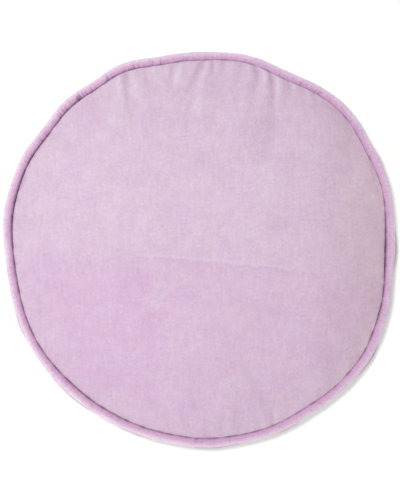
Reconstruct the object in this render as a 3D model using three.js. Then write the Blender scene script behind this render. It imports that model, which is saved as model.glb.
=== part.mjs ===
import * as THREE from "three";

// A round velvet cushion of boxed make, lying on its back: a front and a back panel joined by a strip
// round the side, with a fat piping of the same velvet sewn into both seams.
// Millimetres, +Z up, the front panel facing up. The origin is the middle of the cushion's box, on the
// surface below.
// A direction is an angle in degrees round the cushion, from +X towards +Y.

// The section, from the surface up
const BACK_SEAM_HEIGHT = 13;
const FRONT_SEAM_HEIGHT = 69;
const CROWN = 23; // how far the front panel's middle stands over its seam
const CROWN_POWER = 2.8; // the higher, the flatter the middle and the steeper the edge
const STRIP_BULGE = 13; // how far the strip's middle stands beyond its seams
const STRIP_POWER = 0.75; // the lower, the fuller the strip near its seams
const RESTING_SHARE = 0.8; // the part of the back seam's radius that lies flat on the surface

// The seams and their piping
const SEAM_RADIUS = 201.4; // where the front seam is nearest the middle
const BACK_SEAM_SHARE = 0.6; // how much of the front seam's unevenness the back seam has
const BACK_SEAM_EASE = 2.5; // what the back seam gains for the unevenness it lacks
const PIPING_RADIUS = 5;
const PIPING_GAP = 0.3;
const STRIP_GAP = 0.6; // between the piping and the strip that wraps its hidden side

// Full stretches of the front seam: each stands out by `out` at the direction `at`, and fades over `wide`
// degrees.
const SEAM_SWELLS = [
  { at: 20, out: 7.6, wide: 12 },
  { at: 43, out: 13, wide: 14 },
  { at: 56, out: 3.6, wide: 8 },
  { at: 76, out: 9, wide: 13 },
  { at: 95, out: 3.8, wide: 9 },
  { at: 113, out: 9.2, wide: 10 },
  { at: 132, out: 8.2, wide: 10 },
  { at: 151, out: 6.6, wide: 10 },
  { at: 167, out: 6.4, wide: 12 },
  { at: 208, out: 2, wide: 12 },
  { at: 255, out: 0.8, wide: 10 },
  { at: 272, out: 3.2, wide: 11 },
  { at: 293, out: 5.6, wide: 14 },
  { at: 315, out: 6.4, wide: 11 },
  { at: 329, out: 7.6, wide: 10 },
  { at: 343, out: 4.4, wide: 9 },
  { at: 0, out: 0.8, wide: 10 },
];

// Places where the strip bags out further and peeps past the front piping
const STRIP_SWELLS = [
  { at: 2, out: 2.4, wide: 7 },
  { at: 26, out: 3, wide: 4 },
  { at: 227, out: 2.4, wide: 8 },
  { at: 272, out: 2.8, wide: 7 },
  { at: 296, out: 2, wide: 6 },
  { at: 326, out: 2.6, wide: 12 },
];

// Puckers of the front panel: troughs that start at the seam and run inwards, `deep` at most, fading over
// `long`.
const PUCKERS = [
  { at: 62, deep: 1.2, wide: 1.8, long: 12 },
  { at: 67, deep: 2.6, wide: 2.2, long: 24 },
  { at: 71.5, deep: 1.8, wide: 2, long: 16 },
  { at: 86, deep: 2.4, wide: 2, long: 34 },
  { at: 91, deep: 2, wide: 2, long: 16 },
  { at: 101, deep: 2.2, wide: 2.4, long: 28 },
  { at: 107.5, deep: 1.4, wide: 2, long: 12 },
  { at: 114, deep: 2.6, wide: 2.2, long: 28 },
  { at: 272, deep: 1.4, wide: 2.2, long: 12 },
  { at: 294, deep: 1.6, wide: 2.2, long: 14 },
];
const PUCKER_START = 5; // the distance from the seam over which a pucker reaches its depth

// How finely the surfaces are stepped
const STEPS_ROUND = 150;
const BACK_ROWS = 3;
const STRIP_ROWS = 12;
const FRONT_ROWS = 10;
const PIPING_SIDES = 8;

const VELVET_FACE = 0xdbc3d8;
const VELVET_PIPING = 0xd1b0cc;
const VELVET_ROUGHNESS = 0.95;

/** A soft bump: 1 in the middle, about a third at a distance of `wide`, and nothing well past that. */
function bump(distance, wide) {
  return Math.exp(-((distance / wide) ** 2));
}

/** Degrees between two directions, from -180 to 180. */
function between(direction, at) {
  return THREE.MathUtils.euclideanModulo(direction - at + 180, 360) - 180;
}

/** What the rows of a table of swells add up to at a direction. */
function swell(direction, rows) {
  return rows.reduce((sum, row) => sum + row.out * bump(between(direction, row.at), row.wide), 0);
}

function frontSeamRadius(direction) {
  return SEAM_RADIUS + swell(direction, SEAM_SWELLS);
}

function backSeamRadius(direction) {
  return SEAM_RADIUS + BACK_SEAM_EASE + BACK_SEAM_SHARE * swell(direction, SEAM_SWELLS);
}

/** How far the puckers pull the front panel down, at a direction and a distance in from the seam. */
function puckerDepth(direction, inwards) {
  const start = Math.min(1, inwards / PUCKER_START);
  const depthOf = (row) => row.deep * bump(between(direction, row.at), row.wide) * bump(inwards, row.long);
  return PUCKERS.reduce((sum, row) => sum + start * depthOf(row), 0);
}

/** The back panel: flat where it rests, then a quarter of an ellipse up to the back seam. Share 0 to 1. */
function backPanelPoint(direction, share) {
  const seam = backSeamRadius(direction);
  const turn = (share * Math.PI) / 2;
  const radius = seam * THREE.MathUtils.lerp(RESTING_SHARE, 1, Math.sin(turn));
  return [radius, BACK_SEAM_HEIGHT * (1 - Math.cos(turn))];
}

/** How far out the strip can be where it wraps a piping's inner side, at a distance up or down from a seam. */
function reachBehindPiping(fromSeam) {
  const round = PIPING_RADIUS + STRIP_GAP;
  return fromSeam < round ? round - Math.sqrt(round ** 2 - fromSeam ** 2) : Infinity;
}

/** The strip: it wraps each piping's inner side, and bulges between them as a power of a parabola. Share 0 to 1. */
function stripPoint(direction, share) {
  const straight = THREE.MathUtils.lerp(backSeamRadius(direction), frontSeamRadius(direction), share);
  const height = THREE.MathUtils.lerp(BACK_SEAM_HEIGHT, FRONT_SEAM_HEIGHT, share);
  const fullest = STRIP_BULGE + swell(direction, STRIP_SWELLS);
  const fullness = fullest * (4 * share * (1 - share)) ** STRIP_POWER;
  const fromSeam = Math.min(height - BACK_SEAM_HEIGHT, FRONT_SEAM_HEIGHT - height);
  return [straight + Math.min(fullness, reachBehindPiping(fromSeam)), height];
}

/** The front panel: a crown over its seam, less its puckers. Share 0 at the seam to 1 in the middle. */
function frontPanelPoint(direction, share) {
  const seam = frontSeamRadius(direction);
  const reach = Math.cos((share * Math.PI) / 2);
  const crown = CROWN * Math.sqrt(1 - reach ** CROWN_POWER);
  const pucker = puckerDepth(direction, seam * (1 - reach));
  return [seam * reach, FRONT_SEAM_HEIGHT + crown - pucker];
}

/** The body's section at a direction, as [radius, height] pairs from the resting face's rim to near the top. */
function bodySection(direction) {
  const section = [];
  for (let row = 0; row < BACK_ROWS; row += 1) {
    section.push(backPanelPoint(direction, row / BACK_ROWS));
  }
  for (let row = 0; row < STRIP_ROWS; row += 1) {
    const closeAtSeams = (1 - Math.cos((row / STRIP_ROWS) * Math.PI)) / 2;
    section.push(stripPoint(direction, closeAtSeams));
  }
  for (let row = 0; row < FRONT_ROWS; row += 1) {
    section.push(frontPanelPoint(direction, row / FRONT_ROWS));
  }
  return section;
}

/** A piping's section at a direction: a circle just outside its seam. */
function pipingSection(direction, seamRadius, height) {
  const section = [];
  for (let side = 0; side < PIPING_SIDES; side += 1) {
    const turn = (side / PIPING_SIDES) * 2 * Math.PI;
    const radius = seamRadius(direction) + PIPING_GAP + PIPING_RADIUS * (1 + Math.cos(turn));
    section.push([radius, height + PIPING_RADIUS * Math.sin(turn)]);
  }
  return section;
}

/** The points of a section that is carried round the cushion, one section after another. */
function carriedPoints(sectionAt) {
  const points = [];
  for (let step = 0; step < STEPS_ROUND; step += 1) {
    const direction = (step / STEPS_ROUND) * 360;
    const angle = THREE.MathUtils.degToRad(direction);
    for (const [radius, height] of sectionAt(direction)) {
      points.push(radius * Math.cos(angle), radius * Math.sin(angle), height);
    }
  }
  return points;
}

/** Two triangles for each cell between the sections. Where `closed`, a section's last point joins its first. */
function carriedFaces(rows, closed) {
  const faces = [];
  for (let step = 0; step < STEPS_ROUND; step += 1) {
    const here = step * rows;
    const next = ((step + 1) % STEPS_ROUND) * rows;
    for (let row = 0; row < (closed ? rows : rows - 1); row += 1) {
      const above = (row + 1) % rows;
      faces.push(here + row, next + row, next + above, here + row, next + above, here + above);
    }
  }
  return faces;
}

function geometryOf(points, faces) {
  const geometry = new THREE.BufferGeometry();
  geometry.setAttribute("position", new THREE.Float32BufferAttribute(points, 3));
  geometry.setIndex(faces);
  geometry.computeVertexNormals();
  return geometry;
}

/** The filled cushion: its sections, closed by a fan over the resting face and one over the crown. */
function cushionBody() {
  const rows = bodySection(0).length;
  const points = carriedPoints(bodySection);
  const faces = carriedFaces(rows, false);
  const bottom = points.length / 3;
  const top = bottom + 1;
  points.push(0, 0, 0, 0, 0, FRONT_SEAM_HEIGHT + CROWN);
  for (let step = 0; step < STEPS_ROUND; step += 1) {
    const here = step * rows;
    const next = ((step + 1) % STEPS_ROUND) * rows;
    faces.push(bottom, next, here);
    faces.push(top, here + rows - 1, next + rows - 1);
  }
  return geometryOf(points, faces);
}

/** A piping: one closed ring, just outside its seam. */
function piping(seamRadius, height) {
  const points = carriedPoints((direction) => pipingSection(direction, seamRadius, height));
  return geometryOf(points, carriedFaces(PIPING_SIDES, true));
}

function velvet(name, color) {
  return new THREE.MeshStandardMaterial({ name, color, roughness: VELVET_ROUGHNESS, metalness: 0 });
}

function namedMesh(name, geometry, material) {
  const mesh = new THREE.Mesh(geometry, material);
  mesh.name = name;
  return mesh;
}

const faceVelvet = velvet("velvet_face", VELVET_FACE);
const frontPipingVelvet = velvet("velvet_piping", VELVET_PIPING);
const backPipingVelvet = velvet("velvet_piping", VELVET_PIPING);

const cushion = new THREE.Group();
cushion.add(
  namedMesh("cushion_body", cushionBody(), faceVelvet),
  namedMesh("piping_front", piping(frontSeamRadius, FRONT_SEAM_HEIGHT), frontPipingVelvet),
  namedMesh("piping_back", piping(backSeamRadius, BACK_SEAM_HEIGHT), backPipingVelvet),
);

// The uneven outline is centred on the origin.
const middle = new THREE.Box3().setFromObject(cushion).getCenter(new THREE.Vector3());
cushion.position.set(-middle.x, -middle.y, 0);

export default cushion;
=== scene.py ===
"""A round boxed velvet cushion with a fat piping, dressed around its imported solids, with its floor, light and camera.

Lengths are in metres unless a name ends in _mm, and a direction is an angle in degrees round the cushion, from +X
towards +Y, seen from above.
"""

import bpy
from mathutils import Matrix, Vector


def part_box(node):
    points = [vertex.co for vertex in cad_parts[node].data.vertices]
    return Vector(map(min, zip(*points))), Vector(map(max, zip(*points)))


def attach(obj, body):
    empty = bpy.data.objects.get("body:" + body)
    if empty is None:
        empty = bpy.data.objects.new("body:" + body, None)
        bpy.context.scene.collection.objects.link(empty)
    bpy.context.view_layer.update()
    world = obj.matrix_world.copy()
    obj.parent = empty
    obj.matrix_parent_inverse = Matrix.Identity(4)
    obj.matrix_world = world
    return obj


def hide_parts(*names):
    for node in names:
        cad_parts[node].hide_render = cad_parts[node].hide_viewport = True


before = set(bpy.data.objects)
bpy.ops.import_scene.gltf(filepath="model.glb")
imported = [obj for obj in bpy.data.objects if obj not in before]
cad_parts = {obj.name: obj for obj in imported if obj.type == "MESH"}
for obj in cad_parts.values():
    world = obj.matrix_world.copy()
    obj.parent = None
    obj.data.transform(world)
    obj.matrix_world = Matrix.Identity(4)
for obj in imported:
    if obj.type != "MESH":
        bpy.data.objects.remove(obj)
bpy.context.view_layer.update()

from collections import namedtuple

import bpy
import numpy as np
from mathutils import Vector

bl_info = {
    "name": "Round velvet cushion",
    "version": (1, 0, 0),
    "blender": (4, 5, 0),
    "location": "3D View > Sidebar > Cushion",
    "description": "Makes a round velvet cushion with a piping in both seams, and the studio round it",
    "category": "Add Mesh",
}

MM = 0.001
BODY = "root"

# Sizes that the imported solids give
FRONT_PIPING_LOW, FRONT_PIPING_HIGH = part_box("piping_front")
BACK_PIPING_LOW, BACK_PIPING_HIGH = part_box("piping_back")
CROWN_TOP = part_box("cushion_body")[1].z
PIPING_RADIUS = (FRONT_PIPING_HIGH.z - FRONT_PIPING_LOW.z) / 2
FRONT_SEAM_HEIGHT = (FRONT_PIPING_HIGH.z + FRONT_PIPING_LOW.z) / 2
BACK_SEAM_HEIGHT = (BACK_PIPING_HIGH.z + BACK_PIPING_LOW.z) / 2
CROWN = CROWN_TOP - FRONT_SEAM_HEIGHT

# The section and the seams, as in the part's source
CROWN_POWER = 2.8
STRIP_BULGE = 13 * MM
STRIP_POWER = 0.75
RESTING_SHARE = 0.8
SEAM_RADIUS = 201.4 * MM
BACK_SEAM_SHARE = 0.6
BACK_SEAM_EASE = 2.5 * MM
PIPING_GAP = 0.3 * MM

Swell = namedtuple("Swell", "at out wide")
Pucker = namedtuple("Pucker", "across_mm deep_mm wide_mm long_mm lean")

# A swell is `out` at its direction and fades over `wide` degrees. `out` is in millimetres where the rows give a
# length, and in thousandths where they give a share. These are the full stretches of the front seam.
SEAM_SWELLS = (
    Swell(20, 7.6, 12),
    Swell(43, 13, 14),
    Swell(56, 3.6, 8),
    Swell(76, 9, 13),
    Swell(95, 3.8, 9),
    Swell(113, 9.2, 10),
    Swell(132, 8.2, 10),
    Swell(151, 6.6, 10),
    Swell(167, 6.4, 12),
    Swell(208, 2, 12),
    Swell(255, 0.8, 10),
    Swell(272, 3.2, 11),
    Swell(293, 5.6, 14),
    Swell(315, 6.4, 11),
    Swell(329, 7.6, 10),
    Swell(343, 4.4, 9),
    Swell(0, 0.8, 10),
)

# Places where the strip bags out further and peeps past the front piping
STRIP_SWELLS = (
    Swell(2, 2.4, 7),
    Swell(26, 3, 4),
    Swell(227, 2.4, 8),
    Swell(272, 2.8, 7),
    Swell(296, 2, 6),
    Swell(326, 2.6, 12),
)

# How far the front panel's edge bulges out over its seam, and the gap that it leaves beside the piping: the wider the
# gap, the darker the seam, by the gap's own shade and by shade painted into the velvet's colour. The strip's gap is
# kept on the grid before it is subdivided, which takes most of it.
EDGE_BULGE = 3 * MM
STRIP_GAP = 1.2 * MM
EDGE_GAP = 0.6 * MM
LEAST_EDGE_GAP = 0.1 * MM
DARKEST_EDGE_GAP = 1.25 * MM
EDGE_GAPS = (
    Swell(0, 0.75, 8),
    Swell(22, -0.35, 9),
    Swell(55, -0.55, 28),
    Swell(97, -0.2, 12),
    Swell(120, 0.1, 8),
    Swell(162, 0.6, 24),
    Swell(228, 0.15, 14),
    Swell(270, -0.25, 10),
    Swell(297, -0.4, 11),
    Swell(318, -0.3, 9),
    Swell(345, 0.25, 8),
)

# Puckers of the front panel. Each is a trough, or where its depth is negative a ridge. It starts at the seam
# across_mm to the right of the middle, runs inwards, goes sideways by `lean` for each mm inwards, and fades over
# long_mm.
TOP_PUCKERS = (
    Pucker(-89, -1.2, 3.5, 18, 0),
    Pucker(-81, 3.0, 2.8, 27, 0),
    Pucker(-73, -1.2, 3.5, 20, 0),
    Pucker(-60, 2.0, 2.4, 9, 0),
    Pucker(-50, -1.0, 3.0, 12, 0),
    Pucker(-39.5, 2.2, 2.0, 7, 0),
    Pucker(-30.5, 2.4, 2.4, 18, 0),
    Pucker(-18, -2.4, 5.0, 34, -0.35),
    Pucker(-15.5, 1.6, 1.8, 6, 0),
    Pucker(5, 3.8, 3.0, 25, -0.55),
    Pucker(11, -1.6, 4.0, 34, -0.35),
    Pucker(13.5, 2.8, 1.8, 15, 0),
    Pucker(25, 1.8, 1.8, 8, 0),
    Pucker(34, -0.8, 4.0, 14, 0),
    Pucker(47, 1.0, 4.0, 18, -0.2),
    Pucker(60, 2.4, 4.5, 14, 0.4),
    Pucker(72, -1.2, 3.0, 16, 0),
    Pucker(79, 4.2, 2.6, 30, 0.05),
    Pucker(87.5, -1.8, 3.6, 26, 0),
    Pucker(96, 2.4, 2.6, 9, 0.35),
    Pucker(103.5, -0.8, 2.6, 10, 0),
    Pucker(111, 1.8, 2.6, 9, 0.5),
    Pucker(125, 1.4, 2.6, 8, 0.4),
)
BOTTOM_PUCKERS = (
    Pucker(7, 1.6, 2.2, 8, 0),
    Pucker(13, 1.3, 1.8, 6, 0),
    Pucker(66, 1.2, 3.0, 10, 0),
    Pucker(80, 2.6, 2.4, 14, 0),
)
PUCKER_START = 4 * MM

# The cloth settles over its filling. It starts from a crown lower by SETTLING_RISE. Along the edge it is cut fuller,
# by GROWTH where these swells add up to 1, which makes the puckers run into each other as real ones do.
SETTLING_RISE = 5.5 * MM
MOST_MOVE = 7 * MM
GROWTH = 0.05
GROWTH_REACH = 32 * MM
GROWTHS = (
    Swell(88, 1000, 28),
    Swell(278, 300, 20),
)
STRIP_GROWTH = 0.5
PRESSURE = 1.0
SETTLING_FRAMES = 20
CLOTH = {
    "quality": 5,
    "mass": 0.15,
    "tension_stiffness": 15,
    "compression_stiffness": 5,
    "shear_stiffness": 4,
    "bending_stiffness": 0.05,
    "tension_damping": 5,
    "compression_damping": 5,
    "shear_damping": 5,
    "bending_damping": 0.5,
}

# Where highlight and shade are painted into the velvet's colour by its shape: a pleat's painted highlight, or a
# trough's painted shade, counts in full when it stands PLEAT_RELIEF over, or under, the velvet round it, and where the
# growth is at least a third of its most. The seam's painted shade reaches SEAM_SHADE_HIGH up the panel. On the piping
# it starts, and is full, where the skin faces outwards by these shares: the panel's side is at -1.
PLEAT_SMOOTHINGS = 24
PLEAT_RELIEF = 1.6 * MM
PLEATED_GROWTH_SHARE = 1 / 3
SEAM_SHADE_HIGH = 5 * MM
PIPING_SHADE_START = -0.65
PIPING_SHADE_FULL = -0.95

# How strongly the piping's velvet gathers: its furrows are GATHER_DEPTH deep where GATHER_SHARE and these swells add
# up to 1.
GATHER_PITCH = 4.6 * MM
GATHER_DEPTH = 0.85 * MM
GATHER_SHARE = 0.25
GATHERS = (
    Swell(104, 700, 9),
    Swell(127, 1000, 9),
    Swell(146, 400, 8),
    Swell(55, 500, 7),
    Swell(272, 300, 6),
)

# How much thicker or thinner than its cord the front piping looks, as a share of its radius
PIPING_FATTER = (
    Swell(4, 80, 7),
    Swell(27, 130, 3),
    Swell(78, -110, 9),
    Swell(205, -70, 8),
    Swell(225, 60, 7),
    Swell(272, 60, 7),
    Swell(335, 60, 6),
)

# How finely the surfaces are stepped, and how far from the middle the panel's square grid ends
PANEL_CELLS = 100
PANEL_GRID_REACH = 0.955
EDGE_ROWS = 8
STRIP_ROWS = 18
BACK_ROWS = 8
RESTING_RIM_SHARE = 0.97
BACK_SEAM_ROW = 1 + BACK_ROWS
FRONT_SEAM_ROW = BACK_SEAM_ROW + STRIP_ROWS
STRIP_ROWS_ALL = slice(BACK_SEAM_ROW, FRONT_SEAM_ROW)
STRIP_ROWS_CUT_FULLER = slice(BACK_SEAM_ROW + 1, FRONT_SEAM_ROW)
STRIP_ROWS_FREE = slice(BACK_SEAM_ROW + 2, FRONT_SEAM_ROW - 1)
EDGE_ROWS_FREE = slice(FRONT_SEAM_ROW + 3, None)
PIPING_STEPS = 2600
PIPING_SIDES = 20

# The lamps, as seen from the cushion. The overhead one is almost straight above, so its shadow only just peeps out at
# the lower right. The window is a large soft one at the upper left, and the fill a low one in front.
Lamp = namedtuple("Lamp", "direction elevation distance across")
OVERHEAD = Lamp(125, 85.8, 1.64, 0.1)
WINDOW = Lamp(155, 48, 1.0, 0.6)
FILL = Lamp(250, 14, 1.1, 0.7)

FLOOR_HALF_SIDE = 5.0

# The photograph is 400 by 500 pixels. The piping is this wide in it, round this middle.
PHOTO_HEIGHT_PIXELS = 500
PHOTO_MIDDLE_PIXELS = (200, 250)
CUSHION_WIDTH_PIXELS = 391.5
CUSHION_MIDDLE_PIXELS = (198.75, 249.25)
CAMERA_HEIGHT = 1.5
SENSOR_HEIGHT_MM = 36


def linear(hex_colour):
    """An sRGB colour such as "#DBC3D8" as linear red, green and blue."""
    parts = np.array([int(hex_colour[k:k + 2], 16) for k in (1, 3, 5)]) / 255
    return tuple(np.where(parts <= 0.04045, parts / 12.92, ((parts + 0.055) / 1.055) ** 2.4))


# Shapes: every function takes and gives whole arrays.


def bump(distance, wide):
    """A soft bump, exp(-(distance / wide) squared): 1 in the middle and nothing well past `wide`."""
    return np.exp(-((distance / wide) ** 2))


def between(direction, at):
    """Degrees between two directions, from -180 to 180."""
    return (direction - at + 180) % 360 - 180


def swell(direction, rows):
    """What the rows of a table of swells add up to at each direction."""
    return sum(row.out * MM * bump(between(direction, row.at), row.wide) for row in rows)


def ripple(direction, *waves):
    """A sum of sines round the cushion. A wave is its count in a full turn, its height and its start in degrees."""
    return sum(high * np.sin(np.radians(count * direction + start)) for count, high, start in waves)


def front_seam_radius(direction):
    """The least radius plus the swells."""
    return SEAM_RADIUS + swell(direction, SEAM_SWELLS)


def back_seam_radius(direction):
    """The same, eased out a little and with only a share of the swells."""
    return SEAM_RADIUS + BACK_SEAM_EASE + BACK_SEAM_SHARE * swell(direction, SEAM_SWELLS)


def front_piping_radius(direction):
    """The piping's own radius, which varies with how tightly its velvet is drawn over the cord."""
    return PIPING_RADIUS * (1 + swell(direction, PIPING_FATTER) + ripple(direction, (17, 0.012, 40), (41, 0.01, 10)))


def back_piping_radius(direction):
    """The cord's radius, very slightly uneven."""
    return PIPING_RADIUS * (1 + ripple(direction, (13, 0.012, 0), (37, 0.01, 70)))


def piping_middle(seam_radius, own_radius, seam_height, direction):
    """Radius and height of the middle of a piping's circle: just outside its seam, and a little wavy in height."""
    sink = MM * ripple(direction, (11, 0.25, 50), (19, 0.2, 120))
    return seam_radius(direction) + PIPING_GAP + own_radius(direction), seam_height + sink


def edge_gap(direction):
    """The gap between the front panel's edge and the piping."""
    uneven = MM * ripple(direction, (53, 0.18, 20), (79, 0.16, 0), (127, 0.13, 60))
    return np.maximum(LEAST_EDGE_GAP, EDGE_GAP + swell(direction, EDGE_GAPS) + uneven)


def strip_gap(direction):
    """The gap between the strip and a piping, the same all round."""
    return STRIP_GAP


def clear_of_piping(points, seam_radius, own_radius, seam_height, gap):
    """Points of the body that are nearer to a piping than the gap, above its seam, or than STRIP_GAP, below it, moved
    straight away from the middle of its circle."""
    x, y, z = (points - seam_centre()).T
    radius, direction = np.hypot(x, y), np.degrees(np.arctan2(y, x))
    middle, level = piping_middle(seam_radius, own_radius, seam_height, direction)
    ring = own_radius(direction) + np.where(z > seam_height, gap(direction), STRIP_GAP)
    across, up = radius - middle, z - level
    away = np.hypot(across, up)
    push = np.clip(ring / away - 1, 0, None)
    wider = 1 + across * push / np.maximum(radius, PIPING_RADIUS)
    return np.stack([x * wider, y * wider, z + up * push], axis=-1) + seam_centre()


def clear_of_pipings(points):
    """Points moved clear of the front piping, then of the back one, which has the strip's gap on both sides."""
    points = clear_of_piping(points, front_seam_radius, front_piping_radius, FRONT_SEAM_HEIGHT, edge_gap)
    return clear_of_piping(points, back_seam_radius, back_piping_radius, BACK_SEAM_HEIGHT, strip_gap)


def back_panel(direction, share):
    """Flat where it rests, then a quarter of an ellipse up to the back seam, for a share from 0 to 1."""
    turn = share * np.pi / 2
    reach = RESTING_SHARE + (1 - RESTING_SHARE) * np.sin(turn)
    return back_seam_radius(direction) * reach, BACK_SEAM_HEIGHT * (1 - np.cos(turn)) + 0 * direction


def strip_waves(direction, share):
    """Slack in the strip: broad waves that are highest half way up, and small gathers close to each seam."""
    middle = 4 * share * (1 - share)
    broad = ripple(direction + 4 * share, (9, 0.5, 20), (14, 0.4, 130), (23, 0.35, 60))
    lean = 3 * (share - 0.5)
    front_gathers = ripple(direction + lean, (88, 0.4, 15), (61, 0.36, 200), (37, 0.3, 90)) * bump(1 - share, 0.34)
    back_gathers = ripple(direction - lean, (79, 0.4, 80), (67, 0.36, 10), (41, 0.3, 0)) * bump(share, 0.34)
    return MM * (broad * middle + (front_gathers + back_gathers) * np.sqrt(middle))


def side_strip(direction, share):
    """A straight line between the seams plus a power of a parabola, for a share from 0 to 1."""
    height = BACK_SEAM_HEIGHT + (FRONT_SEAM_HEIGHT - BACK_SEAM_HEIGHT) * share
    straight = back_seam_radius(direction) * (1 - share) + front_seam_radius(direction) * share
    bulge = (STRIP_BULGE + swell(direction, STRIP_SWELLS)) * (4 * share * (1 - share)) ** STRIP_POWER
    return straight + bulge + strip_waves(direction, share), height + 0 * direction


def pucker_depth(direction, radius, inwards):
    """How far the puckers pull the front panel down: bumps across X that start at the seam and fade inwards."""
    across, along = radius * np.cos(np.radians(direction)), radius * np.sin(np.radians(direction))
    start = np.clip(inwards / PUCKER_START, 0, 1)
    depth = 0
    for rows, here in ((TOP_PUCKERS, along > 0), (BOTTOM_PUCKERS, along < 0)):
        for row in rows:
            side_on = bump(across - row.across_mm * MM - row.lean * inwards, row.wide_mm * MM)
            depth = depth + here * row.deep_mm * MM * side_on * bump(inwards, row.long_mm * MM)
    return depth * start


def panel_unevenness(direction, reach):
    """Filling that isn't quite even under the front panel: broad low waves, gone at the seam and in the middle."""
    waves = ripple(direction, (3, 0.5, 30), (5, 0.45, 200), (8, 0.3, 75), (13, 0.22, 10))
    return MM * waves * np.sin(np.pi * np.clip(reach, 0, 1) ** 2)


def front_panel(direction, reach):
    """A crown over the seam: its height is a power curve of the reach, which is 1 at the seam and 0 in the middle.
    The edge bulges outwards, most at the height of the piping's top. Gives radius, height and what puckers add."""
    seam = front_seam_radius(direction)
    crown = (CROWN - SETTLING_RISE) * np.sqrt(np.clip(1 - reach**CROWN_POWER, 0, 1))
    climb = crown / PIPING_RADIUS
    radius = seam * reach + EDGE_BULGE * climb * np.exp(1 - climb) * reach**2
    lowered = pucker_depth(direction, radius, seam * (1 - reach))
    return radius, FRONT_SEAM_HEIGHT + crown + panel_unevenness(direction, reach) - lowered, -lowered


def round_points(direction, radius, height):
    """Radius and height at each direction as points, one row of x, y and z for each."""
    angle = np.radians(direction)
    radius, height, angle = np.broadcast_arrays(radius, height, angle)
    return np.stack([radius * np.cos(angle), radius * np.sin(angle), height], axis=-1)


def square_on_disc(cells):
    """A square grid laid on a disc: x = u sqrt(1 - v*v/2) and y = v sqrt(1 - u*u/2), as direction and reach."""
    side = np.linspace(-1, 1, cells + 1)
    u, v = np.meshgrid(side, side)
    x, y = u * np.sqrt(1 - v**2 / 2), v * np.sqrt(1 - u**2 / 2)
    return np.degrees(np.arctan2(y, x)), np.hypot(x, y)


def square_rim(cells):
    """Rows and columns of a square grid's outermost points, counter-clockwise."""
    forth, back = np.arange(cells), np.arange(cells, 0, -1)
    low, high = np.zeros(cells, int), np.full(cells, cells)
    return np.concatenate([low, forth, high, back]), np.concatenate([forth, high, back, low])


def grid_faces(index, closed_rows=False, closed_columns=True):
    """Four corners for each cell of a grid of point numbers, which may close on itself either way."""
    across = np.roll(index, -1, axis=1)
    up, up_across = np.roll(index, -1, axis=0), np.roll(across, -1, axis=0)
    faces = np.stack([index, across, up_across, up], axis=-1)
    faces = faces if closed_rows else faces[:-1]
    return (faces if closed_columns else faces[:, :-1]).reshape(-1, 4)


def ladder_faces(ring):
    """Quads across a flat ring of point numbers that run counter-clockwise: rungs join its halves, facing down."""
    rung = np.arange(len(ring) // 2 - 1)
    return np.stack([ring[-1 - rung], ring[-2 - rung], ring[rung + 1], ring[rung]], axis=-1)


def seam_centre():
    """Where the middle of the seams' own circle lies: the formula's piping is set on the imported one."""
    direction = np.arange(0, 360, 360 / PIPING_STEPS)
    outer = front_seam_radius(direction) + PIPING_GAP + 2 * PIPING_RADIUS
    points = round_points(direction, outer, 0)
    packed = (FRONT_PIPING_LOW + FRONT_PIPING_HIGH) / 2
    return np.array([packed.x, packed.y, 0]) - (points.min(0) + points.max(0)) / 2


def around(points):
    """Each point's direction and distance from the upright line through the seams' middle, and its height."""
    x, y, z = (points - seam_centre()).T
    return np.degrees(np.arctan2(y, x)), np.hypot(x, y), z


Body = namedtuple("Body", "points faces rows panel pleats")


def body_shape():
    """The filled body's points and faces: rows carried round it up to the panel's edge, then a square grid. Its rows
    and its panel are grids of point numbers, and its pleats say how far puckers and waves lift each point."""
    grid_direction, grid_reach = square_on_disc(PANEL_CELLS)
    rim = square_rim(PANEL_CELLS)
    direction = grid_direction[rim][None, :]
    resting_rim = RESTING_RIM_SHARE * RESTING_SHARE * back_seam_radius(direction), 0 * direction
    back = back_panel(direction, np.linspace(0, 1, BACK_ROWS + 1)[:-1, None])
    close_at_seams = (1 - np.cos(np.linspace(0, np.pi, STRIP_ROWS + 1)[:-1, None])) / 2
    strip = side_strip(direction, close_at_seams)
    edge_turn = np.linspace(0, np.arccos(PANEL_GRID_REACH), EDGE_ROWS + 1)[:-1, None]
    *edge, edge_pleats = front_panel(direction, np.cos(edge_turn))
    *inner, inner_pleats = front_panel(grid_direction, grid_reach * PANEL_GRID_REACH)
    rows = np.concatenate([round_points(direction, *part) for part in (resting_rim, back, strip, edge)])
    row_index = np.arange(rows.shape[0] * rows.shape[1]).reshape(rows.shape[:2])
    panel_index = row_index.size + np.arange(grid_reach.size).reshape(grid_reach.shape)
    panel = round_points(grid_direction, *inner)
    points = clear_of_pipings(np.concatenate([rows.reshape(-1, 3), panel.reshape(-1, 3)]) + seam_centre())
    pleats = np.zeros(len(points))
    pleats[row_index[STRIP_ROWS_ALL]] = strip_waves(direction, close_at_seams)
    pleats[row_index[FRONT_SEAM_ROW:]] = edge_pleats
    pleats[panel_index] = inner_pleats
    round_faces = grid_faces(np.vstack([row_index, panel_index[rim][None, :]]))
    panel_faces = grid_faces(panel_index, closed_columns=False)
    faces = np.concatenate([round_faces, panel_faces, ladder_faces(row_index[0])])
    return Body(points, faces, row_index, panel_index, pleats)


def weigh(piece, name, weights):
    """A vertex group of the piece with the weights, in tenths."""
    group = piece.vertex_groups.new(name=name)
    tenths = np.round(np.clip(weights, 0, 1) * 10)
    for tenth in range(1, 11):
        group.add(np.nonzero(tenths == tenth)[0].tolist(), tenth / 10, "REPLACE")
    return name


def growth(body):
    """How much of GROWTH the cloth has at each point. On the front panel it falls in a straight line from the seam to
    nothing at GROWTH_REACH inwards."""
    direction, radius, height = around(body.points)
    inwards = front_seam_radius(direction) - radius
    share = swell(direction, GROWTHS) * np.clip(1 - inwards / GROWTH_REACH, 0, 1) * (height > FRONT_SEAM_HEIGHT)
    share[body.rows[STRIP_ROWS_CUT_FULLER]] = STRIP_GROWTH
    return share


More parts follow.
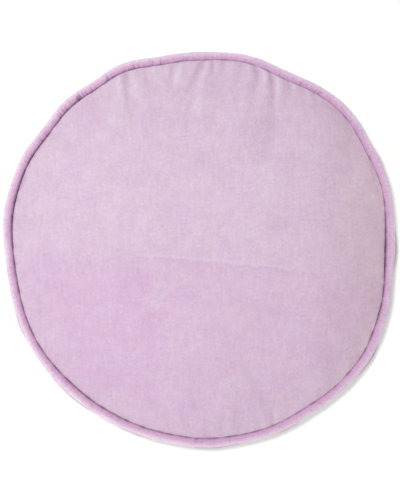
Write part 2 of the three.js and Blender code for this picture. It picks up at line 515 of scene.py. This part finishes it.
def settle(piece, body):
    """Cloth simulation: held at its seams and underneath, the cloth is blown out by its filling. No point may move
    further than MOST_MOVE, or come nearer to a piping than its gap."""
    held = np.ones(len(body.points))
    held[body.rows[STRIP_ROWS_FREE]] = 0
    held[body.rows[EDGE_ROWS_FREE]] = 0
    held[body.panel] = 0
    cloth = piece.modifiers.new("settling", "CLOTH")
    cloth.collision_settings.use_collision = False
    cloth.point_cache.frame_start, cloth.point_cache.frame_end = 1, SETTLING_FRAMES
    how = cloth.settings
    for name, value in CLOTH.items():
        setattr(how, name, value)
    how.effector_weights.gravity = 0
    how.use_pressure = True
    how.uniform_pressure_force = PRESSURE
    how.vertex_group_mass = weigh(piece, "held", held)
    how.vertex_group_shrink = weigh(piece, "grown", growth(body))
    how.shrink_min, how.shrink_max = 0, -GROWTH
    for each in range(1, SETTLING_FRAMES + 1):
        bpy.context.scene.frame_set(each)
    settled = piece.evaluated_get(bpy.context.evaluated_depsgraph_get()).to_mesh()
    points = np.empty(body.points.size)
    settled.vertices.foreach_get("co", points)
    piece.modifiers.remove(cloth)
    piece.vertex_groups.clear()
    bpy.context.scene.frame_set(1)
    move = points.reshape(-1, 3) - body.points
    far = np.linalg.norm(move, axis=1, keepdims=True)
    move *= MOST_MOVE * np.tanh(far / MOST_MOVE) / np.maximum(far, 1e-9)
    points = clear_of_pipings(body.points + move)
    piece.data.vertices.foreach_set("co", points.ravel())
    piece.data.update()
    on_strip = np.isin(np.arange(len(points)), body.rows[STRIP_ROWS_ALL])
    (_, radius, height), (_, old_radius, old_height) = around(points), around(body.points)
    lift = np.where(on_strip, radius - old_radius, height - old_height)
    return body._replace(points=points, pleats=body.pleats + lift)


def smoothed(values, faces, times):
    """The values of a mesh's points, each averaged with its neighbours' along the edges, so many times over."""
    start, end = np.concatenate([np.stack([faces[:, k], faces[:, (k + 1) % 4]]) for k in range(4)], axis=1)
    neighbours = np.bincount(start, minlength=len(values))
    for _ in range(times):
        around = np.bincount(start, weights=values[end], minlength=len(values)) / neighbours
        values = (values + around) / 2
    return values


def painted_seam_darkness(direction):
    """How dark the shade painted into the front seam's velvet is, from 0 to 1: the wider its gap, the darker."""
    return np.clip(edge_gap(direction) / DARKEST_EDGE_GAP, 0, 1)


def body_marks(body):
    """What the velvet's painted highlight and shade go by: how far each point stands over a pleat's surroundings
    (negative for a trough), from -1 to 1, on the front panel only where its edge is cut fuller, and how dark the shade
    painted into the front seam is there, from 0 to 1."""
    direction, radius, height = around(body.points)
    up = height - FRONT_SEAM_HEIGHT
    in_pleats = np.where(up > 0, np.clip(swell(direction, GROWTHS) / PLEATED_GROWTH_SHARE, 0, 1), 1)
    # Painted highlight on pleat ridges and painted shade in their troughs, by how far each point stands over its
    # surroundings
    relief = (body.pleats - smoothed(body.pleats, body.faces, PLEAT_SMOOTHINGS)) * in_pleats
    # Painted shade at the front seam: full from a piping's radius below it, gone SEAM_SHADE_HIGH up the panel
    inside = np.clip(1 - up / SEAM_SHADE_HIGH, 0, 1) * (up > -PIPING_RADIUS) * (radius > SEAM_RADIUS / 2)
    return {"pleat_light_and_shade": np.clip(relief / PLEAT_RELIEF, -1, 1), "painted_seam_shade": inside * painted_seam_darkness(direction)}


def gather_depth(direction, turn):
    """Narrow furrows across the piping, about one each GATHER_PITCH and finer ones between them, uneven in place and
    strength, deepest on the side that faces the panel."""
    furrows = round(2 * np.pi * SEAM_RADIUS / GATHER_PITCH)
    uneven = ripple(direction, (29, 120, 0), (71, 90, 90), (113, 80, 30))
    wave = 0.5 + 0.5 * np.sin(np.radians(furrows * direction + uneven + 35 * np.cos(turn)))
    finer = 0.5 + 0.5 * np.sin(np.radians(round(1.7 * furrows) * direction - uneven - 50 * np.cos(turn)))
    beat = np.clip(0.45 + ripple(direction, (43, 0.35, 10), (67, 0.3, 80), (149, 0.2, 0)), 0, 1)
    off_beat = np.clip(0.4 + ripple(direction, (37, 0.3, 60), (83, 0.3, 0)), 0, 1)
    strength = GATHER_SHARE + swell(direction, GATHERS)
    facing = np.clip(0.35 + 0.65 * np.cos(turn - np.radians(155)), 0, 1)
    return GATHER_DEPTH * strength * facing * (beat * wave**3 + 0.5 * off_beat * finer**3)


def piping_shape(seam_radius, own_radius, seam_height):
    """Points and faces of a piping: a circle carried round its seam, with the gathers of its velvet. Its marks say of
    each point how far outwards it faces, from -1 to 1, for a painted sheen, how deep it lies between gathers, for
    painted shade down the furrows, and how dark the shade painted into the seam is there."""
    direction = np.arange(0, 360, 360 / PIPING_STEPS)[None, :]
    turn = np.linspace(0, 2 * np.pi, PIPING_SIDES + 1)[:-1, None]
    middle, level = piping_middle(seam_radius, own_radius, seam_height, direction)
    skin = own_radius(direction) - gather_depth(direction, turn)
    points = round_points(direction, middle + skin * np.cos(turn), level + skin * np.sin(turn))
    index = np.arange(points.shape[0] * points.shape[1]).reshape(points.shape[:2])
    # How far the skin faces outwards, which the material's painted sheen goes by
    outwards = np.broadcast_to(np.cos(turn), index.shape)
    gathered = gather_depth(direction, turn) / GATHER_DEPTH
    # Painted shade on the piping's side that faces the panel, as dark as the seam's gap is wide
    inside = np.clip((PIPING_SHADE_START - outwards) / (PIPING_SHADE_START - PIPING_SHADE_FULL), 0, 1)
    painted_seam_shade = inside * painted_seam_darkness(direction)
    marks = {"outwards": outwards.ravel(), "gathered": gathered.ravel(), "painted_seam_shade": painted_seam_shade.ravel()}
    return points.reshape(-1, 3) + seam_centre(), grid_faces(index, closed_rows=True), marks


def mesh_piece(name, points, faces, material):
    """A smooth mesh object at the origin, from arrays of points and faces."""
    mesh = bpy.data.meshes.new(name)
    mesh.from_pydata(points.tolist(), [], faces.tolist())
    mesh.shade_smooth()
    mesh.materials.append(material)
    piece = bpy.data.objects.new(name, mesh)
    bpy.context.scene.collection.objects.link(piece)
    return piece


def mark_points(piece, marks):
    """Gives the mesh's points the numbers that its material reads by name."""
    for name, values in marks.items():
        piece.data.attributes.new(name, "FLOAT", "POINT").data.foreach_set("value", values)


def declare(piece, node):
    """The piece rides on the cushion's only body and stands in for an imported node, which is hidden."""
    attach(piece, BODY)
    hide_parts(node)


# Materials

# The numbers of a Mix node's sockets for colours, which share their names with those for other kinds of value
MIX_FACTOR, MIX_COLOUR, MIX_TINT, MIX_RESULT = 0, 6, 7, 2

# Cotton velvet hardly shines
VELVET_ROUGHNESS = 0.9
VELVET_SPECULAR_LEVEL = 0.15

# The line where the cover was folded is y = -FOLD_DOWN - FOLD_SLOPE x - FOLD_BEND x x.
FOLD_DOWN, FOLD_SLOPE, FOLD_BEND = 9 * MM, 0.085, 0.1

# Where a hand has brushed the pile: the middle of the place, how its strokes lean, and how far it reaches along them
# and beside them
BRUSHED_MIDDLE = (-28 * MM, -46 * MM, 0)
BRUSHED_LEAN = 34
BRUSHED_REACH_ALONG, BRUSHED_REACH_BESIDE = 34 * MM, 20 * MM

# What the velvet's colour is multiplied by where it looks different, in the order in which it is done. Some tints are
# its own tone and some are painted highlight, sheen or shade, as said above each.
PANEL_TINTS = {
    # Partly painted shade, where the cloth below the fold tilts from the light, partly the pile leaning the other way
    "below the fold": (0.985, 0.905, 0.985),
    # Painted shade: darker and warmer towards the right, the side away from the light
    "painted shade to the right": (0.985, 0.97, 0.965),
    "painted warm shade by the right rim": (0.985, 0.985, 0.925),
    "violet patch": (0.96, 0.925, 0.975),
    "warm patch": (0.985, 0.96, 0.95),
    "streak down": (0.955, 0.925, 0.965),
    "streak across": (0.965, 0.945, 0.95),
    "speck": (0.95, 0.93, 0.95),
    "weave": (0.925, 0.915, 0.925),
    "brushed": (1.0, 1.07, 1.01),
    # A painted highlight above the fold's crease and painted shade along the dent just below it
    "painted fold highlight": (1.05, 1.07, 1.05),
    "painted fold shade": (0.97, 0.95, 0.97),
    # Painted highlight on pleat ridges and painted shade in their troughs
    "painted pleat highlight": (1.05, 1.1, 1.04),
    "painted trough shade": (0.87, 0.85, 0.84),
    # Painted shade deep down the front seam, where its gap lies in shade
    "painted seam shade": (0.36, 0.17, 0.34),
}
PIPING_TINTS = {
    # A painted sheen: paler where the skin faces outwards
    "painted outward sheen": (1.36, 1.78, 1.36),
    # Painted shade on the piping's side deep down the front seam
    "painted seam shade": (0.4, 0.2, 0.4),
    # Painted shade down the furrows between the gathers
    "painted furrow shade": (0.66, 0.52, 0.68),
    "patch": (0.95, 0.92, 0.965),
    "streak": (0.88, 0.83, 0.89),
    "weave": (0.88, 0.86, 0.88),
}


def add_node(tree, kind, inputs=None, **options):
    """Adds a shader node and gives its outputs. options are its own settings, and inputs are what its sockets hold:
    each a plain value, or the output of another node."""
    node = tree.nodes.new(kind)
    for name, value in options.items():
        setattr(node, name, value)
    for socket, value in (inputs or {}).items():
        if isinstance(value, bpy.types.NodeSocket):
            tree.links.new(value, node.inputs[socket])
        else:
            node.inputs[socket].default_value = value
    return node.outputs


def maths(tree, operation, *terms):
    """A Math node of numbers and other nodes' outputs."""
    return add_node(tree, "ShaderNodeMath", dict(enumerate(terms)), operation=operation)[0]


def ramp(tree, value, low, high, to_low=0.0, to_high=1.0):
    """Smoothly from to_low to to_high while the value goes from low to high."""
    inputs = {"Value": value, "From Min": low, "From Max": high, "To Min": to_low, "To Max": to_high}
    return add_node(tree, "ShaderNodeMapRange", inputs, interpolation_type="SMOOTHSTEP")[0]


def noise(tree, vector, size, detail=3.0, roughness=0.5, distortion=0.0):
    """Cloudy noise whose patches are `size` metres across, about 0.5 on average."""
    inputs = {"Vector": vector, "Scale": 1 / size, "Detail": detail, "Roughness": roughness, "Distortion": distortion}
    return add_node(tree, "ShaderNodeTexNoise", inputs)[0]


def stretched(tree, vector, scale):
    """The coordinates with each axis multiplied by its own factor."""
    return add_node(tree, "ShaderNodeMapping", {"Vector": vector, "Scale": scale})[0]


def line_bump(tree, distance, wide):
    """1 on a line and nothing `wide` metres from it: exp(-(distance / wide) squared)."""
    ratio = maths(tree, "DIVIDE", distance, wide)
    square = maths(tree, "MULTIPLY", ratio, ratio)
    return maths(tree, "POWER", 2.718, maths(tree, "MULTIPLY", square, -1))


def tinted(tree, colour, factor, tint):
    """The colour multiplied by a tint, as far as the factor goes from 0 to 1."""
    inputs = {MIX_FACTOR: factor, MIX_COLOUR: colour, MIX_TINT: (*tint, 1)}
    return add_node(tree, "ShaderNodeMix", inputs, data_type="RGBA", blend_type="MULTIPLY")[MIX_RESULT]


def tinted_by(tree, colour, tints, factors):
    """The colour multiplied by each named tint in turn, as far as the factor of the same name goes."""
    for name, factor in factors.items():
        colour = tinted(tree, colour, factor, tints[name])
    return colour


def weave_grain(tree, vector):
    """The velvet's fine rows: short streaks along X and along Y, where its pile stands in the weave's rows."""
    along_x = noise(tree, stretched(tree, vector, (0.28, 1, 1)), 0.9 * MM, detail=2)
    along_y = noise(tree, stretched(tree, vector, (1, 0.28, 1)), 0.9 * MM, detail=2)
    return maths(tree, "MULTIPLY", maths(tree, "ADD", along_x, along_y), 0.5)


def velvet_shader(material, tint, sheen, sheen_roughness):
    """The common base of both velvets: a pile that hardly shines face on and glows pale at a grazing angle."""
    material.use_nodes = True
    shader = material.node_tree.nodes["Principled BSDF"]
    shader.inputs["Roughness"].default_value = VELVET_ROUGHNESS
    shader.inputs["Specular IOR Level"].default_value = VELVET_SPECULAR_LEVEL
    shader.inputs["Sheen Weight"].default_value = sheen
    shader.inputs["Sheen Roughness"].default_value = sheen_roughness
    shader.inputs["Sheen Tint"].default_value = (*tint, 1)
    return shader


def mark(tree, name):
    """A number that the mesh's points carry."""
    return add_node(tree, "ShaderNodeAttribute", attribute_name=name)["Fac"]


def panel_velvet(colour):
    """Cotton velvet of the panels and the strip. The pile leans this way and that, which mottles it with warmer and
    more violet patches. Below the line where the cover was folded it looks more violet, partly as painted shade and
    partly as the pile leaning the other way. Highlight and shade are painted into its colour too: it is pale on
    pleats, darker and browner in troughs, darker and warmer towards the right, pale and dark beside the fold's
    crease, and plum deep down the seam."""
    material = bpy.data.materials.new("panel_velvet")
    shader = velvet_shader(material, linear("#FFEEF8"), 0.4, 0.35)
    tree = material.node_tree
    place = add_node(tree, "ShaderNodeTexCoord")["Object"]
    x, y, z = add_node(tree, "ShaderNodeSeparateXYZ", {0: place})[:3]
    on_front = ramp(tree, z, FRONT_SEAM_HEIGHT, FRONT_SEAM_HEIGHT + CROWN * 0.6)

    # The fold line is a little ragged, and lost in the velvet here and there.
    wander = maths(tree, "MULTIPLY_ADD", noise(tree, place, 45 * MM, detail=2), 9 * MM, -4.5 * MM)
    ragged = maths(tree, "MULTIPLY_ADD", noise(tree, place, 12 * MM, detail=3), 5 * MM, -2.5 * MM)
    slope = maths(tree, "MULTIPLY_ADD", maths(tree, "MULTIPLY_ADD", x, FOLD_BEND, FOLD_SLOPE), x, FOLD_DOWN)
    over_fold = maths(tree, "ADD", maths(tree, "ADD", y, slope), ragged)
    fold_reach = maths(tree, "MULTIPLY", ramp(tree, x, -85 * MM, -45 * MM), ramp(tree, x, 40 * MM, 160 * MM, 1, 0))
    broken = ramp(tree, noise(tree, stretched(tree, place, (1, 0.3, 1)), 22 * MM, detail=2), 0.25, 0.5)
    fold_reach = maths(tree, "MULTIPLY", maths(tree, "MULTIPLY", fold_reach, on_front), broken)
    # A painted highlight along the fold's crease and painted shade along the dent below it, which the bump also sinks
    painted_fold_highlight = maths(tree, "MULTIPLY", line_bump(tree, over_fold, 1.9 * MM), fold_reach)
    fold_dent = maths(tree, "MULTIPLY", line_bump(tree, maths(tree, "ADD", over_fold, 3.4 * MM), 2 * MM), fold_reach)
    softness = ramp(tree, x, -10 * MM, -120 * MM, 1, 4.5)
    soft_fold = maths(tree, "DIVIDE", maths(tree, "ADD", over_fold, wander), softness)
    # More violet below the fold: partly painted shade, as the cloth tilts from the light, partly the pile's other lean
    below_fold = maths(tree, "MULTIPLY", ramp(tree, soft_fold, 7 * MM, -10 * MM), on_front)
    leftwards = ramp(tree, x, 55 * MM, -90 * MM, 0.5, 1)
    # Painted shade: darker and warmer towards the right, the side away from the light
    painted_shade_rightwards = ramp(tree, x, 20 * MM, 200 * MM)
    painted_shade_by_right_rim = ramp(tree, maths(tree, "ADD", x, wander), 110 * MM, 215 * MM)

    # A few pale strokes side by side, from the lower left to the upper right
    turned = {"Vector": place, "Location": BRUSHED_MIDDLE, "Rotation": (0, 0, np.radians(BRUSHED_LEAN))}
    brushed = add_node(tree, "ShaderNodeMapping", turned, vector_type="TEXTURE")[0]
    along, beside = add_node(tree, "ShaderNodeSeparateXYZ", {0: brushed})[:2]
    strokes = ramp(tree, noise(tree, stretched(tree, brushed, (0.12, 1, 1)), 8 * MM, detail=2), 0.4, 0.62)
    strokes = maths(tree, "MULTIPLY", strokes, line_bump(tree, along, BRUSHED_REACH_ALONG))
    strokes = maths(tree, "MULTIPLY", strokes, line_bump(tree, beside, BRUSHED_REACH_BESIDE))
    strokes = maths(tree, "MULTIPLY", strokes, on_front)

    patches = noise(tree, place, 42 * MM, detail=4, roughness=0.6, distortion=0.3)
    warm = noise(tree, stretched(tree, place, (1, -1, 1)), 26 * MM, detail=4, roughness=0.6)
    down = noise(tree, stretched(tree, place, (1, 0.2, 1)), 3.4 * MM, detail=3, roughness=0.6)
    across = noise(tree, stretched(tree, place, (0.2, 1, 1)), 3.4 * MM, detail=3, roughness=0.6)
    specks = noise(tree, place, 3.2 * MM, detail=3, roughness=0.6)
    grain = weave_grain(tree, place)

    base = tinted_by(tree, (*colour, 1), PANEL_TINTS, {
        "below the fold": maths(tree, "MULTIPLY", below_fold, leftwards),
        "painted shade to the right": painted_shade_rightwards,
        "painted warm shade by the right rim": painted_shade_by_right_rim,
        "violet patch": ramp(tree, patches, 0.3, 0.7),
        "warm patch": ramp(tree, warm, 0.3, 0.7),
        "streak down": ramp(tree, down, 0.3, 0.7),
        "streak across": ramp(tree, across, 0.3, 0.7),
        "speck": ramp(tree, specks, 0.35, 0.7),
        "weave": ramp(tree, grain, 0.35, 0.62),
        "brushed": strokes,
        "painted fold highlight": painted_fold_highlight,
        "painted fold shade": fold_dent,
        "painted pleat highlight": ramp(tree, mark(tree, "pleat_light_and_shade"), 0, 0.7),
        "painted trough shade": ramp(tree, mark(tree, "pleat_light_and_shade"), 0, -0.9),
        "painted seam shade": ramp(tree, mark(tree, "painted_seam_shade"), 0.1, 0.8),
    })
    tree.links.new(base, shader.inputs["Base Color"])

    nap = maths(tree, "MULTIPLY_ADD", maths(tree, "ADD", down, across), 0.15, maths(tree, "MULTIPLY", specks, 0.2))
    relief = maths(tree, "ADD", nap, maths(tree, "MULTIPLY", grain, 0.3))
    relief = maths(tree, "SUBTRACT", relief, maths(tree, "MULTIPLY", fold_dent, 0.6))
    normal = add_node(tree, "ShaderNodeBump", {"Height": relief, "Distance": 1 * MM, "Strength": 0.5})[0]
    tree.links.new(normal, shader.inputs["Normal"])
    return material


def piping_velvet(colour):
    """The same velvet cut on the cross and drawn over a cord. Sheen and shade are painted into its colour: it is paler
    where it faces outwards, as a painted sheen, and darker towards the panel and between its gathers, as painted
    shade."""
    material = bpy.data.materials.new("piping_velvet")
    shader = velvet_shader(material, linear("#FFF0F8"), 0.7, 0.5)
    tree = material.node_tree
    place = add_node(tree, "ShaderNodeTexCoord")["Object"]
    patches = noise(tree, place, 22 * MM, detail=3, roughness=0.6)
    streaks = noise(tree, place, 3 * MM, detail=3, roughness=0.6)
    on_the_cross = {"Vector": place, "Rotation": (0, 0, np.radians(45))}
    grain = weave_grain(tree, add_node(tree, "ShaderNodeMapping", on_the_cross)[0])
    base = tinted_by(tree, (*colour, 1), PIPING_TINTS, {
        "painted outward sheen": ramp(tree, mark(tree, "outwards"), -0.45, 0.9),
        "painted seam shade": mark(tree, "painted_seam_shade"),
        "painted furrow shade": ramp(tree, mark(tree, "gathered"), 0, 0.8),
        "patch": ramp(tree, patches, 0.42, 0.66),
        "streak": ramp(tree, streaks, 0.48, 0.68),
        "weave": ramp(tree, grain, 0.35, 0.62),
    })
    tree.links.new(base, shader.inputs["Base Color"])
    relief = maths(tree, "ADD", maths(tree, "MULTIPLY", streaks, 0.4), maths(tree, "MULTIPLY", grain, 0.3))
    normal = add_node(tree, "ShaderNodeBump", {"Height": relief, "Distance": 1 * MM, "Strength": 0.5})[0]
    tree.links.new(normal, shader.inputs["Normal"])
    return material


def white_paper():
    """A photographer's paper sweep: matt, and lit so strongly that only the shadow close to the cushion shows."""
    material = bpy.data.materials.new("white_paper")
    material.use_nodes = True
    shader = material.node_tree.nodes["Principled BSDF"]
    shader.inputs["Base Color"].default_value = (0.79, 0.82, 0.795, 1)
    shader.inputs["Roughness"].default_value = 1
    shader.inputs["Specular IOR Level"].default_value = 0
    shader.inputs["Emission Color"].default_value = (1, 1, 1, 1)
    shader.inputs["Emission Strength"].default_value = 0.29
    return material


class CushionSettings(bpy.types.PropertyGroup):
    """What a user would change on the cushion and its studio"""

    fill: bpy.props.FloatProperty(
        name="Fill", description="How full the cushion is, from slack to tight", default=0.6, min=0, max=1,
        subtype="FACTOR",
    )
    panel_colour: bpy.props.FloatVectorProperty(
        name="Panels", description="Colour of the velvet of the panels and the strip", default=linear("#DCC9DA"),
        subtype="COLOR", min=0, max=1,
    )
    piping_colour: bpy.props.FloatVectorProperty(
        name="Piping", description="Colour of the velvet drawn over the piping cord", default=linear("#D2ABCC"),
        subtype="COLOR", min=0, max=1,
    )
    overhead_power: bpy.props.FloatProperty(
        name="Overhead lamp", description="Power of the lamp above the cushion", default=14.2, min=0, unit="POWER",
    )
    window_power: bpy.props.FloatProperty(
        name="Window", description="Power of the large soft lamp at the upper left", default=2.0, min=0, unit="POWER",
    )
    fill_power: bpy.props.FloatProperty(
        name="Fill", description="Power of the low soft lamp in front", default=2.4, min=0, unit="POWER",
    )
    room_light: bpy.props.FloatProperty(
        name="Room", description="Brightness of the white room round the cushion", default=0.37, min=0,
    )


class CUSHION_OT_body(bpy.types.Operator):
    """Make the filled body: front panel, side strip and back panel"""

    bl_idname = "cushion.body"
    bl_label = "Body"

    def execute(self, context):
        settings = context.scene.cushion
        body = body_shape()
        piece = mesh_piece("cushion", body.points, body.faces, panel_velvet(settings.panel_colour))
        body = settle(piece, body)
        mark_points(piece, body_marks(body))
        finish = piece.modifiers.new("finer", "SUBSURF")
        finish.levels = finish.render_levels = 1
        declare(piece, "cushion_body")
        return {"FINISHED"}


class CUSHION_OT_pipings(bpy.types.Operator):
    """Make the piping of the front seam and that of the back seam"""

    bl_idname = "cushion.pipings"
    bl_label = "Pipings"

    def execute(self, context):
        velvet = piping_velvet(context.scene.cushion.piping_colour)
        front = front_seam_radius, front_piping_radius, FRONT_SEAM_HEIGHT
        back = back_seam_radius, back_piping_radius, BACK_SEAM_HEIGHT
        for name, node, seam in (("front", "piping_front", front), ("back", "piping_back", back)):
            points, faces, marks = piping_shape(*seam)
            piece = mesh_piece(f"piping_of_{name}_seam", points, faces, velvet)
            mark_points(piece, marks)
            declare(piece, node)
        return {"FINISHED"}


class CUSHION_OT_stage(bpy.types.Operator):
    """Make the floor, the light and the camera"""

    bl_idname = "cushion.stage"
    bl_label = "Stage"

    def execute(self, context):
        settings = context.scene.cushion
        corners = FLOOR_HALF_SIDE * np.array([[-1, -1, 0], [1, -1, 0], [1, 1, 0], [-1, 1, 0]])
        mesh_piece("floor", corners, np.array([[0, 1, 2, 3]]), white_paper())
        make_room(settings.room_light)
        make_lamp("overhead", settings.overhead_power, OVERHEAD)
        make_lamp("window", settings.window_power, WINDOW)
        make_lamp("fill", settings.fill_power, FILL)
        make_camera()
        context.scene.view_settings.view_transform = "Standard"
        return {"FINISHED"}


def make_room(brightness):
    """The white room round the cushion, as even light from everywhere."""
    world = bpy.data.worlds.new("studio")
    bpy.context.scene.world = world
    world.use_nodes = True
    background = world.node_tree.nodes["Background"]
    background.inputs["Color"].default_value = (1, 1, 1, 1)
    background.inputs["Strength"].default_value = brightness


def make_lamp(name, power, lamp):
    """A round soft lamp that faces the cushion."""
    light = bpy.data.lights.new(name, "AREA")
    light.shape = "DISK"
    light.size = lamp.across
    light.energy = power
    direction, elevation = np.radians(lamp.direction), np.radians(lamp.elevation)
    away = Vector((np.cos(elevation) * np.cos(direction), np.cos(elevation) * np.sin(direction), np.sin(elevation)))
    piece = bpy.data.objects.new(name, light)
    piece.location = away * lamp.distance
    piece.rotation_euler = away.to_track_quat("Z", "Y").to_euler()
    bpy.context.scene.collection.objects.link(piece)


def make_camera():
    """Straight above, with the lens that makes the piping as wide as in the photograph."""
    pixel = (FRONT_PIPING_HIGH.x - FRONT_PIPING_LOW.x) / CUSHION_WIDTH_PIXELS
    data = bpy.data.cameras.new("camera")
    data.sensor_width = SENSOR_HEIGHT_MM
    data.lens = SENSOR_HEIGHT_MM * CAMERA_HEIGHT / (pixel * PHOTO_HEIGHT_PIXELS)
    camera = bpy.data.objects.new("camera", data)
    middle = (FRONT_PIPING_LOW + FRONT_PIPING_HIGH) / 2
    right = (PHOTO_MIDDLE_PIXELS[0] - CUSHION_MIDDLE_PIXELS[0]) * pixel
    down = (PHOTO_MIDDLE_PIXELS[1] - CUSHION_MIDDLE_PIXELS[1]) * pixel
    camera.location = (middle.x + right, middle.y - down, FRONT_SEAM_HEIGHT + CAMERA_HEIGHT)
    bpy.context.scene.collection.objects.link(camera)
    bpy.context.scene.camera = camera


class CUSHION_PT_panel(bpy.types.Panel):
    """The cushion's settings and makers"""

    bl_label = "Cushion"
    bl_space_type = "VIEW_3D"
    bl_region_type = "UI"
    bl_category = "Cushion"

    def draw(self, context):
        for name in CushionSettings.__annotations__:
            self.layout.prop(context.scene.cushion, name)
        for operator in OPERATORS:
            self.layout.operator(operator.bl_idname)


OPERATORS = (CUSHION_OT_stage, CUSHION_OT_body, CUSHION_OT_pipings)
CLASSES = (CushionSettings, *OPERATORS, CUSHION_PT_panel)


def register():
    """Makes the settings, operators and panel known to Blender."""
    for each in CLASSES:
        bpy.utils.register_class(each)
    bpy.types.Scene.cushion = bpy.props.PointerProperty(type=CushionSettings)


def unregister():
    """Takes them away again."""
    del bpy.types.Scene.cushion
    for each in reversed(CLASSES):
        bpy.utils.unregister_class(each)


def main():
    """Makes the stage and every piece."""
    register()
    bpy.ops.cushion.stage()
    bpy.ops.cushion.body()
    bpy.ops.cushion.pipings()


if __name__ == "__main__":
    main()
